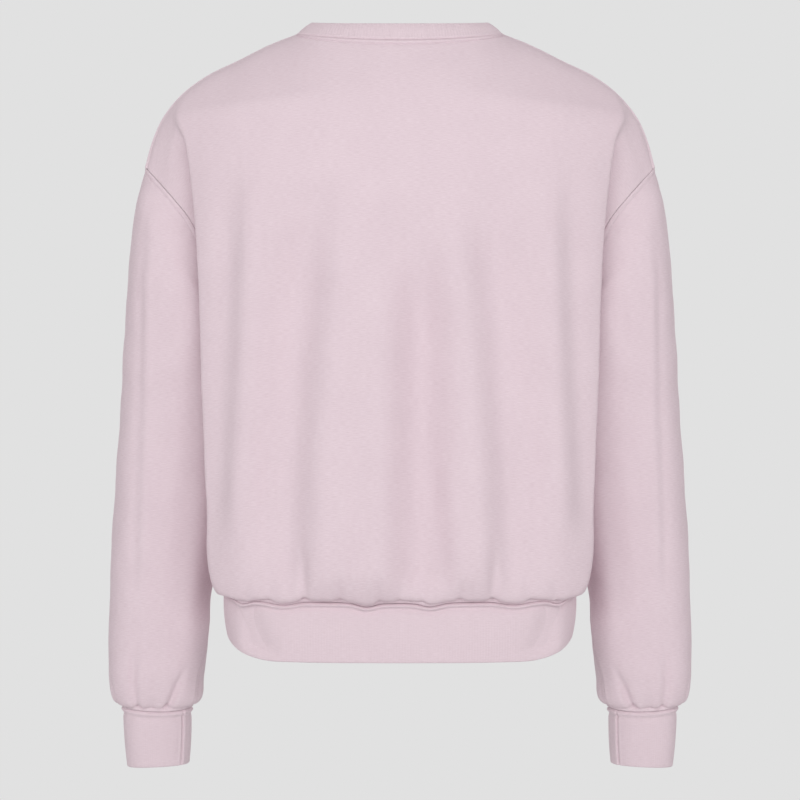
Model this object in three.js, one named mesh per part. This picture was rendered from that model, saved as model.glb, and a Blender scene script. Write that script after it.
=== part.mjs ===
// A crewneck sweatshirt of brushed fleece, worn and hollow, with its arms hanging.
// Millimetres. +Z is up, the garment's front faces -Y, its back +Y, and +X is the wearer's left.
// The origin lies midway between the two points where the shoulder seams meet the neckline.
import * as THREE from "three";

const { clamp, lerp } = THREE.MathUtils;

// Cloth
const FLEECE = 2;
const FOLDED_RIB = 3;
const SEAM_GAP = 0.3;
const NECK_SEAM_GAP = 0.4;
const EDGE_RELIEF = 0.12;

// Neckline, measured at the seam of the neckband
const NECK_HALF_WIDTH = 106;
const NECK_BACK_DEPTH = 62;
const NECK_FRONT_DEPTH = 72;
const NECK_BACK_HEIGHT = -12;
const NECK_SIDE_HEIGHT = 0;
const NECK_FRONT_HEIGHT = -86;

// How the neckline climbs from its centre to the shoulder: a larger power keeps it low for longer
const NECK_CLIMB = 1.6;

// Neckband: how far it stands up and leans in
const BAND_AT_BACK = { rise: 17, lean: 9 };
const BAND_AT_SIDE = { rise: 13, lean: 15 };
const BAND_AT_FRONT = { rise: 15, lean: 12 };
const BAND_CROWN = 1.2;
const RIBS_PER_CHORD = 5;
const RIB_RELIEF = 0.5;

// Hem band and cuffs
const HEM_HEIGHT = 58;
const HEM_CROWN = 2;
const CUFF_CROWN = 1;

// Sleeves: how square their sections are (2 is an ellipse), and their mean radius
const SLEEVE_SQUARENESS = 2.2;
const SLEEVE_RADIUS = 56;

// Troughs fade in and out over one part in this many of their length.
const TROUGH_FADE = 4;

// Shares of a panel's half width, from its centre line to its sewn edge
const NECK_SHARE = 0.36;
const BLADE_SHARE = 0.42;
const FOLD_SHARE = 0.71;
const HOLLOW_SHARE = 0.84;

// The blade lies between the centre line and the side fold
const BLADE_OUT = 0.6;
const BLADE_FULLNESS = 0.8;

// Beside the neckline a panel runs straight out of its top edge, and over the shoulder it turns into
// the other panel. A larger power keeps that turn closer to the shoulder seam.
const TURN_OVER = 4;

// Facets: columns of half a panel, as shares of its half width
const NECK_COLUMNS_BACK = 8;
const NECK_COLUMNS_FRONT = 10;
const SLEEVE_HEAD_STEPS = 1;
const CUFF_ROWS = 2;
const HEM_ROWS = 3;
const NECKBAND_ROWS = 2;
const OUTER_SHARES = [0.44, 0.52, 0.59, 0.65, 0.69, 0.72, 0.75, 0.79, 0.84, 0.89, 0.945, 1];

// The shoulder seam, from the neckline over the shoulder to the top of the sleeve
const shoulderLine = [
  { across: 106, depth: 0, height: 0 },
  { across: 134, depth: 0, height: -11 },
  { across: 166, depth: 0, height: -27 },
  { across: 197, depth: 0, height: -42 },
  { across: 222, depth: -1, height: -60 },
  { across: 242, depth: -2, height: -83 },
  { across: 254, depth: -3, height: -108 },
  { across: 262, depth: -3, height: -136 },
];

// Sections of the back panel, from the hem seam up. Each gives the centre line, the fold that hangs
// in front of the sleeve, the hollow behind that fold, and the sewn edge, as across, depth and height,
// of which the centre line has the last two.
// rows is the number of rows of facets up to the next section.
const backSections = [
  { centre: [100, -577], fold: [159, 66, -575], hollow: [177, 33, -568], edge: [180, 0, -564], rows: 1 },
  { centre: [111, -571], fold: [178, 63, -571], hollow: [188, 32, -570], edge: [186, 0, -567], rows: 1 },
  { centre: [115, -550], fold: [190, 57, -548], hollow: [190, 27, -547], edge: [183, 1, -546], rows: 2 },
  { centre: [110, -480], fold: [196, 54, -480], hollow: [190, 24, -480], edge: [178, 2, -480], rows: 2 },
  { centre: [107, -400], fold: [199, 52, -400], hollow: [188, 22, -400], edge: [174, 4, -400], rows: 1 },
  { centre: [105, -342], fold: [201, 51, -342], hollow: [187, 22, -342], edge: [170, 0, -342], rows: 1 },
  { centre: [104, -292], fold: [202, 51, -292], hollow: [186, 22, -292], edge: [165, -14, -292], rows: 2 },
  { centre: [105, -240], fold: [204, 53, -240], hollow: [184, 28, -243], edge: [177, 11, -264], rows: 2 },
  { centre: [107, -190], fold: [207, 55, -190], hollow: [187, 34, -196], edge: [196, 24, -226], rows: 2 },
  { centre: [106, -145], fold: [211, 55, -148], hollow: [199, 36, -156], edge: [214, 30, -191], rows: 2 },
  { centre: [99, -100], fold: [216, 48, -110], hollow: [213, 35, -124], edge: [231, 27, -170], rows: 2 },
  { centre: [84, -55], fold: [223, 33, -82], hollow: [231, 27, -104], edge: [248, 14, -151], rows: 2 },
];

// The same for the front panel, whose neckline is lower and whose sides leave room for the sleeves.
const frontSections = [
  { centre: [-108, -577], fold: [151, -78, -575], hollow: [173, -44, -568], edge: [180, 0, -564], rows: 1 },
  { centre: [-119, -571], fold: [160, -84, -571], hollow: [181, -46, -570], edge: [186, 0, -567], rows: 1 },
  { centre: [-122, -550], fold: [154, -87, -548], hollow: [175, -49, -547], edge: [183, 1, -546], rows: 2 },
  { centre: [-120, -480], fold: [140, -92, -480], hollow: [162, -54, -480], edge: [178, 2, -480], rows: 2 },
  { centre: [-119, -400], fold: [134, -96, -400], hollow: [155, -55, -400], edge: [174, 4, -400], rows: 1 },
  { centre: [-119, -342], fold: [131, -98, -342], hollow: [151, -55, -342], edge: [170, 0, -342], rows: 1 },
  { centre: [-120, -292], fold: [132, -99, -292], hollow: [149, -60, -292], edge: [165, -14, -292], rows: 2 },
  { centre: [-121, -245], fold: [140, -101, -243], hollow: [154, -77, -248], edge: [167, -49, -262], rows: 2 },
  { centre: [-119, -200], fold: [150, -101, -195], hollow: [168, -88, -204], edge: [181, -68, -226], rows: 2 },
  { centre: [-112, -160], fold: [163, -95, -150], hollow: [186, -88, -168], edge: [203, -76, -190], rows: 2 },
  { centre: [-99, -128], fold: [180, -80, -112], hollow: [208, -76, -138], edge: [226, -66, -165], rows: 2 },
  { centre: [-85, -105], fold: [201, -50, -80], hollow: [228, -50, -110], edge: [248, -38, -148], rows: 2 },
];

// The first section that has its edge on the armhole seam, at the underarm point
const UNDERARM = 6;

// Sections of the sleeve below the armhole seam: its outer and inner line as across and height,
// the depth of its middle, and half its thickness from front to back. rows is as above.
const sleeveSections = [
  { outer: [270, -158], inner: [175, -299], middle: -22, half: 52, rows: 1 },
  { outer: [276, -187], inner: [171, -306], middle: -23, half: 55, rows: 2 },
  { outer: [282, -245], inner: [170, -328], middle: -28, half: 58, rows: 2 },
  { outer: [287, -310], inner: [167, -362], middle: -36, half: 60, rows: 2 },
  { outer: [291, -375], inner: [169, -402], middle: -42, half: 60, rows: 2 },
  { outer: [296, -440], inner: [177, -452], middle: -46, half: 58, rows: 2 },
  { outer: [301, -515], inner: [187, -515], middle: -49, half: 54, rows: 2 },
  { outer: [304, -585], inner: [199, -582], middle: -51, half: 50, rows: 1 },
  { outer: [305, -640], inner: [202, -636], middle: -51, half: 46, rows: 1 },
  { outer: [305, -668], inner: [206, -663], middle: -51, half: 44, rows: 1 },
  { outer: [300, -689], inner: [208, -687], middle: -51, half: 39, rows: 1 },
  { outer: [290, -694], inner: [219, -696], middle: -51, half: 31 },
];

// The foot of the cuff
const cuffFoot = { outer: [286, -757], inner: [221, -754], middle: -53, half: 29 };

// Soft upright troughs in the back panel, mirrored to the other side unless they lie on its centre:
// where they lie across at their top, middle and foot, their heights, and how deep and wide they are.
const backTroughs = [
  { across: [75, 88, 97], top: -195, foot: -490, depth: 5, spread: 15 },
  { across: [0, 0, 0], top: -230, foot: -500, depth: 4, spread: 13 },
  { across: [146, 172, 189], top: -170, foot: -540, depth: 4.5, spread: 13 },
  { across: [96, 96, 94], top: -505, foot: -572, depth: 3, spread: 9 },
  { across: [58, 58, 60], top: -535, foot: -574, depth: 3, spread: 8 },
  { across: [22, 21, 20], top: -540, foot: -574, depth: 2.5, spread: 8 },
];

const frontTroughs = [
  { across: [70, 80, 88], top: -215, foot: -500, depth: 4.5, spread: 15 },
  { across: [0, 0, 0], top: -260, foot: -480, depth: 3, spread: 14 },
  { across: [104, 112, 124], top: -150, foot: -420, depth: 4, spread: 13 },
  { across: [46, 46, 44], top: -530, foot: -574, depth: 3, spread: 9 },
  { across: [102, 100, 98], top: -515, foot: -572, depth: 3, spread: 9 },
];

// Troughs along the sleeve: turned from the outer line towards the back, and running between heights
const sleeveTroughs = [
  { turn: [36, 40, 44], top: -190, foot: -620, depth: 3.5, spread: 12 },
  { turn: [-48, -42, -40], top: -220, foot: -600, depth: 3.5, spread: 13 },
  { turn: [96, 92, 90], top: -560, foot: -690, depth: 3, spread: 10 },
];

const FLEECE_LOOK = { color: 0xdfcfd4, roughness: 0.95, metalness: 0 };
const RIB_LOOK = { color: 0xdccbd1, roughness: 0.92, metalness: 0 };

const point = ([across, depth, height]) => new THREE.Vector3(across, depth, height);
const mirrored = (p) => new THREE.Vector3(-p.x, p.y, p.z);
const fromRow = (row) => new THREE.Vector3(row.across, row.depth, row.height);

// A smooth curve through points at uneven knots: each tangent is the slope between the neighbours.
function curveAt(knots, points, t) {
  const last = knots.length - 1;
  let i = 0;
  while (i < last - 1 && t > knots[i + 1]) i += 1;
  const span = knots[i + 1] - knots[i];
  const w = clamp((t - knots[i]) / span, 0, 1);
  const slope = (k) => {
    const before = Math.max(k - 1, 0);
    const after = Math.min(k + 1, last);
    return points[after].clone().sub(points[before]).divideScalar(knots[after] - knots[before]);
  };
  return points[i].clone().multiplyScalar((1 + 2 * w) * (1 - w) ** 2)
    .addScaledVector(slope(i), w * (1 - w) ** 2 * span)
    .addScaledVector(points[i + 1], w * w * (3 - 2 * w))
    .addScaledVector(slope(i + 1), -w * w * (1 - w) * span);
}

function lengthsAlong(points) {
  const along = [0];
  for (let i = 1; i < points.length; i += 1) along.push(along[i - 1] + points[i].distanceTo(points[i - 1]));
  return along;
}

// The neckline seam from the centre of one panel to the shoulder, with turn from 0 to 1
function neckline(turn, centreDepth, centreHeight) {
  const angle = turn * Math.PI / 2;
  const rise = 1 - Math.cos(angle) ** NECK_CLIMB;
  return new THREE.Vector3(
    NECK_HALF_WIDTH * Math.sin(angle),
    centreDepth * Math.cos(angle),
    lerp(centreHeight, NECK_SIDE_HEIGHT, rise),
  );
}

const shoulderPoints = shoulderLine.map(fromRow);
const shoulderLengths = lengthsAlong(shoulderPoints);

function shoulderSeam(share) {
  const length = share * shoulderLengths[shoulderLengths.length - 1];
  return curveAt(shoulderLengths, shoulderPoints, length);
}

// The blade of a section, worked out between its centre line and its side fold
function bladeOf(section) {
  const centre = point([0, ...section.centre]);
  const fold = point(section.fold);
  return new THREE.Vector3(
    BLADE_OUT * fold.x,
    lerp(fold.y, centre.y, BLADE_FULLNESS),
    lerp(centre.z, fold.z, BLADE_OUT),
  );
}

const halfKnots = [0, BLADE_SHARE, FOLD_SHARE, HOLLOW_SHARE, 1];
const halfPoints = (section) => [
  point([0, ...section.centre]),
  bladeOf(section),
  point(section.fold),
  point(section.hollow),
  point(section.edge),
];

// A point of a section. Below the underarm the curve runs on into the other panel's section.
function acrossSection(section, beyond, share) {
  const half = halfPoints(section);
  const knots = [-BLADE_SHARE, ...halfKnots];
  const points = [mirrored(half[1]), ...half];
  if (beyond) {
    knots.push(2 - HOLLOW_SHARE);
    points.push(point(beyond.hollow));
  }
  return curveAt(knots, points, share);
}

function sharesOf(neckColumns) {
  const neck = Array.from({ length: neckColumns + 1 }, (_, i) => NECK_SHARE * i / neckColumns);
  return [...neck, ...OUTER_SHARES];
}

function topEdge(share, centreDepth, centreHeight) {
  if (share <= NECK_SHARE) return neckline(share / NECK_SHARE, centreDepth, centreHeight);
  return shoulderSeam((share - NECK_SHARE) / (1 - NECK_SHARE));
}

// How far a point lies below the plain surface, in the troughs of a table
function troughDepth(troughs, height, distanceTo) {
  let total = 0;
  for (const trough of troughs) {
    const w = (trough.top - height) / (trough.top - trough.foot);
    if (w <= 0 || w >= 1) continue;
    const fade = Math.min(1, TROUGH_FADE * w, TROUGH_FADE * (1 - w));
    const ease = fade * fade * (3 - 2 * fade);
    const away = distanceTo(trough, w) / trough.spread;
    total += trough.depth * ease * Math.exp(-away * away);
  }
  return total;
}

// A value that runs through three given ones, at the start, the middle and the end
const bend = ([start, middle, end], w) =>
  start * (1 - w) * (1 - 2 * w) + middle * 4 * w * (1 - w) + end * w * (2 * w - 1);

// Outward normals of a grid of points, which closes on itself along its columns where asked
function normalsOf(grid, closed) {
  const rows = grid.length;
  const columns = grid[0].length;
  return grid.map((row, r) => row.map((_, c) => {
    const up = grid[Math.min(r + 1, rows - 1)][c].clone().sub(grid[Math.max(r - 1, 0)][c]);
    const next = closed ? (c + 1) % columns : Math.min(c + 1, columns - 1);
    const before = closed ? (c + columns - 1) % columns : Math.max(c - 1, 0);
    const along = row[next].clone().sub(row[before]);
    return along.cross(up).normalize();
  }));
}

function geometryOf(points, faces) {
  const geometry = new THREE.BufferGeometry().setFromPoints(points);
  geometry.setIndex(faces);
  geometry.computeVertexNormals();
  return geometry;
}

const towards = (from, to, distance) => to.clone().sub(from).normalize().multiplyScalar(distance);

// Pulls the border of a grid back along the cloth: its first and last row, and the side columns of an
// open one
function pulledBack(grid, distance, closed) {
  const lastRow = grid.length - 1;
  const lastColumn = grid[0].length - 1;
  return grid.map((row, r) => row.map((p, c) => {
    const pulled = p.clone();
    if (r === 0) pulled.add(towards(p, grid[1][c], distance));
    if (r === lastRow) pulled.add(towards(p, grid[r - 1][c], distance));
    if (!closed && c === 0) pulled.add(towards(p, row[1], distance));
    if (!closed && c === lastColumn) pulled.add(towards(p, row[c - 1], distance));
    return pulled;
  }));
}

// A wall: the outer grid, the same grid moved in by the cloth's thickness, and the rims between them.
// The grid's columns run so that columns crossed with rows point out. Its two halves are cut into
// facets as mirror images.
function wall(grid, normals, thickness, closed) {
  const outer = pulledBack(grid, SEAM_GAP / 2, closed);
  const moved = outer.map((row, r) => row.map((p, c) =>
    p.clone().addScaledVector(normals[r][c], -thickness)));
  const inner = pulledBack(moved, EDGE_RELIEF, closed);
  const rows = outer.length;
  const columns = outer[0].length;
  const faces = [];
  const place = (layer, r, c) => (layer * rows + r) * columns + (c % columns);
  const quad = (a, b, c, d) => faces.push(a, b, c, a, c, d);
  const halfway = (columns - 1) / 2;
  const lastColumn = closed ? columns : columns - 1;
  const top = rows - 1;
  const edge = columns - 1;
  for (let r = 0; r < top; r += 1) {
    for (let c = 0; c < lastColumn; c += 1) {
      const outerCorners = [place(0, r, c), place(0, r, c + 1), place(0, r + 1, c + 1), place(0, r + 1, c)];
      const innerCorners = [place(1, r, c), place(1, r + 1, c), place(1, r + 1, c + 1), place(1, r, c + 1)];
      const turned = ([first, ...rest]) => [...rest, first];
      quad(...(c < halfway ? outerCorners : turned(outerCorners)));
      quad(...(c < halfway ? innerCorners : turned(innerCorners)));
    }
    if (!closed) {
      quad(place(1, r, 0), place(0, r, 0), place(0, r + 1, 0), place(1, r + 1, 0));
      quad(place(0, r, edge), place(1, r, edge), place(1, r + 1, edge), place(0, r + 1, edge));
    }
  }
  for (let c = 0; c < lastColumn; c += 1) {
    quad(place(1, 0, c), place(1, 0, c + 1), place(0, 0, c + 1), place(0, 0, c));
    quad(place(0, top, c), place(0, top, c + 1), place(1, top, c + 1), place(1, top, c));
  }
  return geometryOf([...outer.flat(), ...inner.flat()], faces);
}

// A tube that closes on itself, through sections that are closed too
function ring(sections) {
  const count = sections.length;
  const around = sections[0].length;
  const faces = [];
  const place = (c, k) => (c % count) * around + (k % around);
  for (let c = 0; c < count; c += 1) {
    for (let k = 0; k < around; k += 1) {
      faces.push(place(c, k), place(c + 1, k), place(c + 1, k + 1));
      faces.push(place(c, k), place(c + 1, k + 1), place(c, k + 1));
    }
  }
  return geometryOf(sections.flat(), faces);
}

// A folded band between two loops that run anticlockwise from above. It is crowned on its outside,
// and raised(i, w) lifts the outer point of column i at the share w of the way up. rims, where they are
// given, are the directions in which the lower rim faces out of the seam that it stands on.
function band(bottom, top, crown, rows, raised, rims) {
  const count = top.length;
  return ring(top.map((upper, i) => {
    const lower = bottom[i];
    const along = top[(i + 1) % count].clone().sub(top[(i + count - 1) % count]);
    const out = along.cross(upper.clone().sub(lower)).normalize();
    const outer = Array.from({ length: rows + 1 }, (_, k) => {
      const w = k / rows;
      return lower.clone().lerp(upper, w).addScaledVector(out, crown * 4 * w * (1 - w) + raised(i, w));
    });
    const innerTop = upper.clone().addScaledVector(out, -FOLDED_RIB);
    const innerBottom = lower.clone().addScaledVector(rims ? rims[i] : out, -FOLDED_RIB);
    return [...outer, innerTop, innerBottom];
  }));
}

const plain = () => 0;

// Half of a panel's outer surface, from its centre line outwards, as rows from the hem up
function halfPanel(sections, others, neck, troughs) {
  const columns = sharesOf(neck.columns).map((share) => {
    const points = sections.map((section, i) =>
      acrossSection(section, i <= UNDERARM ? others[i] : null, share));
    const top = topEdge(share, neck.depth, neck.height);
    const overShoulder = acrossSection(others[others.length - 1], null, share);
    const straightOn = top.clone().multiplyScalar(2).sub(points[points.length - 1]);
    const turn = Math.min(1, share / NECK_SHARE) ** TURN_OVER;
    const path = [...points, top, straightOn.lerp(overShoulder, turn)];
    const knots = lengthsAlong(path);
    const column = sections.flatMap((section, i) => Array.from({ length: section.rows }, (_, step) =>
      curveAt(knots, path, lerp(knots[i], knots[i + 1], step / section.rows))));
    return [...column, top];
  });
  const rows = columns[0].map((_, r) => columns.map((column) => column[r]));
  const normals = normalsOf(rows, false);
  const side = Math.sign(neck.depth);
  const mirrorImages = troughs.filter((trough) => trough.across[0] > 0);
  return rows.map((row, r) => row.map((p, c) => {
    if (c === row.length - 1 || r === rows.length - 1) return p;
    const depth = troughDepth(troughs, p.z, (trough, w) => p.x - bend(trough.across, w))
      + troughDepth(mirrorImages, p.z, (trough, w) => p.x + bend(trough.across, w));
    return p.clone().addScaledVector(normals[r][c], side * depth);
  }));
}

// A whole panel: the half and its mirror image, anticlockwise from above
function wholePanel(half, side) {
  return half.map((row) => {
    const whole = [...row.slice(1).reverse(), ...row.map(mirrored)];
    return side > 0 ? whole : whole.map(mirrored);
  });
}

const backNeck = { columns: NECK_COLUMNS_BACK, depth: NECK_BACK_DEPTH, height: NECK_BACK_HEIGHT };
const frontNeck = { columns: NECK_COLUMNS_FRONT, depth: -NECK_FRONT_DEPTH, height: NECK_FRONT_HEIGHT };
const backHalf = halfPanel(backSections, frontSections, backNeck, backTroughs);
const frontHalf = halfPanel(frontSections, backSections, frontNeck, frontTroughs);
const backGrid = wholePanel(backHalf, 1);
const frontGrid = wholePanel(frontHalf, -1);
const backNormals = normalsOf(backGrid, false);
const frontNormals = normalsOf(frontGrid, false);

// Where two panels are sewn edge to edge, both take the mean of their normals.
const underarmRow = backSections.slice(0, UNDERARM).reduce((sum, section) => sum + section.rows, 0);
const topRow = backGrid.length - 1;

function shareNormal(row, backColumn, frontColumn) {
  const mean = backNormals[row][backColumn].clone().add(frontNormals[row][frontColumn]).normalize();
  backNormals[row][backColumn].copy(mean);
  frontNormals[row][frontColumn].copy(mean);
}

const backEdge = backGrid[0].length - 1;
const frontEdge = frontGrid[0].length - 1;
for (let r = 0; r <= underarmRow; r += 1) {
  shareNormal(r, 0, frontEdge);
  shareNormal(r, backEdge, 0);
}
for (let c = 0; c <= OUTER_SHARES.length; c += 1) {
  shareNormal(topRow, c, frontEdge - c);
  shareNormal(topRow, backEdge - c, c);
}

// The armhole seam on the +X side: from the underarm up the back and down the front
const armhole = [
  ...backGrid.slice(underarmRow).map((row) => row[0]),
  ...frontGrid.slice(underarmRow + 1, topRow).map((row) => row[frontEdge]).reverse(),
];
const armholeTop = topRow - underarmRow;

// Angles round the sleeve, from 0 at its outer line: positive over the back, negative over the front
const armholeLengths = lengthsAlong([...armhole, armhole[0]]);
const armholeAngles = armhole.map((_, i) => {
  const topLength = armholeLengths[armholeTop];
  const whole = armholeLengths[armhole.length];
  return i <= armholeTop
    ? Math.PI * (1 - armholeLengths[i] / topLength)
    : -Math.PI * (armholeLengths[i] - topLength) / (whole - topLength);
});

const rounded = (value) => Math.sign(value) * Math.abs(value) ** (2 / SLEEVE_SQUARENESS);

// A point of a sleeve or cuff section at an angle
function tubePoint({ outer, inner, middle, half }, angle) {
  const across = rounded(Math.cos(angle)) / 2;
  return new THREE.Vector3(
    (outer[0] + inner[0]) / 2 + (outer[0] - inner[0]) * across,
    middle + half * rounded(Math.sin(angle)),
    (outer[1] + inner[1]) / 2 + (outer[1] - inner[1]) * across,
  );
}

// The sleeve's outer surface, from the armhole seam down, with columns from the armhole's points
function sleeveGrid() {
  const columns = armhole.map((start, i) => {
    const angle = armholeAngles[i];
    const path = [start, ...sleeveSections.map((section) => tubePoint(section, angle))];
    const knots = lengthsAlong(path);
    const column = [];
    path.slice(0, -1).forEach((_, k) => {
      const steps = k === 0 ? SLEEVE_HEAD_STEPS : sleeveSections[k - 1].rows;
      for (let step = 0; step < steps; step += 1) {
        column.push(curveAt(knots, path, lerp(knots[k], knots[k + 1], step / steps)));
      }
    });
    return [...column, path[path.length - 1]];
  });
  const rows = columns[0].map((_, r) => columns.map((column) => column[r]));
  const normals = normalsOf(rows, true);
  return rows.map((row, r) => row.map((p, c) => {
    if (r === 0 || r === rows.length - 1) return p;
    const depth = troughDepth(sleeveTroughs, p.z, (trough, w) => {
      const turned = armholeAngles[c] - THREE.MathUtils.degToRad(bend(trough.turn, w));
      return SLEEVE_RADIUS * Math.atan2(Math.sin(turned), Math.cos(turned));
    });
    return p.clone().addScaledVector(normals[r][c], -depth);
  }));
}

// The mirror image of a grid of closed rows, with its columns turned round so that it still faces out
const mirroredGrid = (grid) => grid.map((row) => row.map(mirrored).reverse());

const sleeve = sleeveGrid();
const garment = new THREE.Group();

function add(name, geometry, look) {
  const mesh = new THREE.Mesh(geometry, new THREE.MeshStandardMaterial(look));
  mesh.name = name;
  garment.add(mesh);
}

function addPanels() {
  add("back", wall(backGrid, backNormals, FLEECE, false), FLEECE_LOOK);
  add("front", wall(frontGrid, frontNormals, FLEECE, false), FLEECE_LOOK);
}

function addSleeves() {
  const right = mirroredGrid(sleeve);
  add("sleeve_left", wall(sleeve, normalsOf(sleeve, true), FLEECE, true), FLEECE_LOOK);
  add("sleeve_right", wall(right, normalsOf(right, true), FLEECE, true), FLEECE_LOOK);
}

function addCuffs() {
  const seam = sleeve[sleeve.length - 1].map((p) => new THREE.Vector3(p.x, p.y, p.z - SEAM_GAP));
  const foot = armholeAngles.map((angle) => tubePoint(cuffFoot, angle));
  const left = band([...foot].reverse(), [...seam].reverse(), CUFF_CROWN, CUFF_ROWS, plain);
  const right = band(foot.map(mirrored), seam.map(mirrored), CUFF_CROWN, CUFF_ROWS, plain);
  add("cuff_left", left, RIB_LOOK);
  add("cuff_right", right, RIB_LOOK);
}

function addHemBand() {
  const seam = [...backGrid[0], ...frontGrid[0].slice(1, -1)];
  const top = seam.map((p) => new THREE.Vector3(p.x, p.y, p.z - SEAM_GAP));
  const bottom = seam.map((p) => new THREE.Vector3(p.x, p.y, p.z - HEM_HEIGHT));
  add("hem_band", band(bottom, top, HEM_CROWN, HEM_ROWS, plain), RIB_LOOK);
}

// The neckband stands on the neckline seam and leans in. Each chord of the seam carries whole ribs.
function addNeckband() {
  const neckOf = (grid) => grid[topRow].slice(OUTER_SHARES.length, grid[0].length - OUTER_SHARES.length);
  const seam = [...neckOf(backGrid), ...neckOf(frontGrid).slice(1, -1)];
  const facing = [...neckOf(backNormals), ...neckOf(frontNormals).slice(1, -1)];
  const perChord = 2 * RIBS_PER_CHORD;
  const bottom = [];
  const top = [];
  const rims = [];
  seam.forEach((from, i) => {
    const after = (i + 1) % seam.length;
    for (let step = 0; step < perChord; step += 1) {
      const w = step / perChord;
      const base = from.clone().lerp(seam[after], w);
      rims.push(facing[i].clone().lerp(facing[after], w).normalize());
      const sideways = Math.min(1, Math.abs(base.x) / NECK_HALF_WIDTH) ** 2;
      const inward = new THREE.Vector3(-base.x / NECK_HALF_WIDTH ** 2, -base.y / NECK_BACK_DEPTH ** 2, 0);
      const middle = base.y > 0 ? BAND_AT_BACK : BAND_AT_FRONT;
      const direction = inward.setLength(lerp(middle.lean, BAND_AT_SIDE.lean, sideways));
      direction.z = lerp(middle.rise, BAND_AT_SIDE.rise, sideways);
      bottom.push(base.clone().addScaledVector(direction.clone().normalize(), NECK_SEAM_GAP));
      top.push(base.clone().add(direction));
    }
  });
  const ribs = (i, w) => (i % 2 === 0 && w > 0 ? RIB_RELIEF : 0);
  add("neckband", band(bottom, top, BAND_CROWN, NECKBAND_ROWS, ribs, rims), RIB_LOOK);
}

addPanels();
addSleeves();
addCuffs();
addHemBand();
addNeckband();

export default garment;
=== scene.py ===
"""A crewneck sweatshirt of brushed fleece, worn and hollow, with its arms hanging, seen from its back.

Shapes are worked out in millimetres in the part's own frame and placed in metres. +Z is up, the
garment's front faces -Y and its back +Y, and +X is the wearer's left.
"""
import math

import bpy
import numpy as np
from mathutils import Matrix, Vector


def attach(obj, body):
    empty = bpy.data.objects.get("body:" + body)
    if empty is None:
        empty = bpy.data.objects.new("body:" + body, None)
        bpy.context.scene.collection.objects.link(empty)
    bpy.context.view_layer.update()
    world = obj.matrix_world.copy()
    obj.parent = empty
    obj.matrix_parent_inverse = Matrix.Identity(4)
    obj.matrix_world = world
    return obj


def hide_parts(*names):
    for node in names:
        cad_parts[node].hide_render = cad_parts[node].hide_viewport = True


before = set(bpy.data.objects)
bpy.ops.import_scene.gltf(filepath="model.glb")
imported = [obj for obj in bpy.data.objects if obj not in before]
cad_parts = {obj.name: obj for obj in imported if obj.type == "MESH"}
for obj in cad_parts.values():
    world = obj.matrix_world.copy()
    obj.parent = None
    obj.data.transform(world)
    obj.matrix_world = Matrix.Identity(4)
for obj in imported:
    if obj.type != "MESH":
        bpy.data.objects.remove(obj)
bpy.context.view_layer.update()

MM = 0.001

# Thickness of the cloth, and of a band of it folded double
FLEECE = 2.0
FOLDED_RIB = 3.0
# Cut sizes in metres, and areas in square metres; a rib band's length is that of its face
BACK_CUT = {"flat": (0.71, 0.64), "area": 0.325}
FRONT_CUT = {"flat": (0.78, 0.64), "area": 0.28}
SLEEVE_CUT = {"flat": (0.46, 0.58), "area": 0.18}
HEM_CUT = {"flat": (0.95, 0.060)}
CUFF_CUT = {"flat": (0.20, 0.062)}
NECK_CUT = {"flat": (0.60, 0.022)}
# Gaps between sewn pieces, and how much further back the inner face of a wall ends
SEAM_GAP = 0.2
NECK_GAP = 0.35
INNER_SETBACK = 0.6
# Distance from a cover seam's edge to its threads
STITCH_LINE = 5.4

# Neckline and neckband, as in the part
NECK_HALF_WIDTH = 106.0
NECK_SIDE_HEIGHT = 0.0
NECK_FLATNESS = 1.6
BACK_NECK = {"depth": 62.0, "height": -12.0}
FRONT_NECK = {"depth": -72.0, "height": -86.0}
BAND_AT_BACK = {"rise": 17.0, "lean": 9.0}
BAND_AT_SIDE = {"rise": 13.0, "lean": 15.0}
BAND_AT_FRONT = {"rise": 15.0, "lean": 12.0}

# Hem band and cuff: the taper and the rise at the sides curve the band's foot
HEM_LINE = -577.0
HEM_HEIGHT = 58.0
HEM_FLAT_HALF = 120.0
HEM_HALF_WIDTH = 181.0
HEM_SIDE_RISE = {"soft": 15.0, "sharp": 6.0}
HEM_TAPER = 0.02
CUFF_SAG = 3.5

# Sleeves
SLEEVE_SQUARENESS = 2.35
SLEEVE_RADIUS = 56.0
# The sleeve's seam lies on its inner line, and turns towards the back above the cuff
SLEEVE_SEAM = {"turn": 180, "shift": 32, "below": -590, "over": 100}

# Shares of a panel's half width, from its centre line to its sewn edge
NECK_SHARE = 0.36
BLADE_SHARE = 0.42
FOLD_SHARE = 0.71
HOLLOW_SHARE = 0.84
# The point between the centre line and the side fold: how far out it lies, and how full it is
BLADE_OUT = 0.6
BLADE_FULLNESS = 0.8
# How late, along the neckline from its centre, a panel's top starts to turn over the shoulder
SHOULDER_TURN = 4

SHOULDER_LINE = np.array([
    (106, 0, 0), (134, 0, -11), (166, 0, -27), (197, 0, -42),
    (222, -1, -60), (242, -2, -83), (254, -3, -108), (262, -3, -136),
], float)


def table(columns, rows):
    """Rows of values as dictionaries, under the names of their columns."""
    return [dict(zip(columns, row)) for row in rows]


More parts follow.
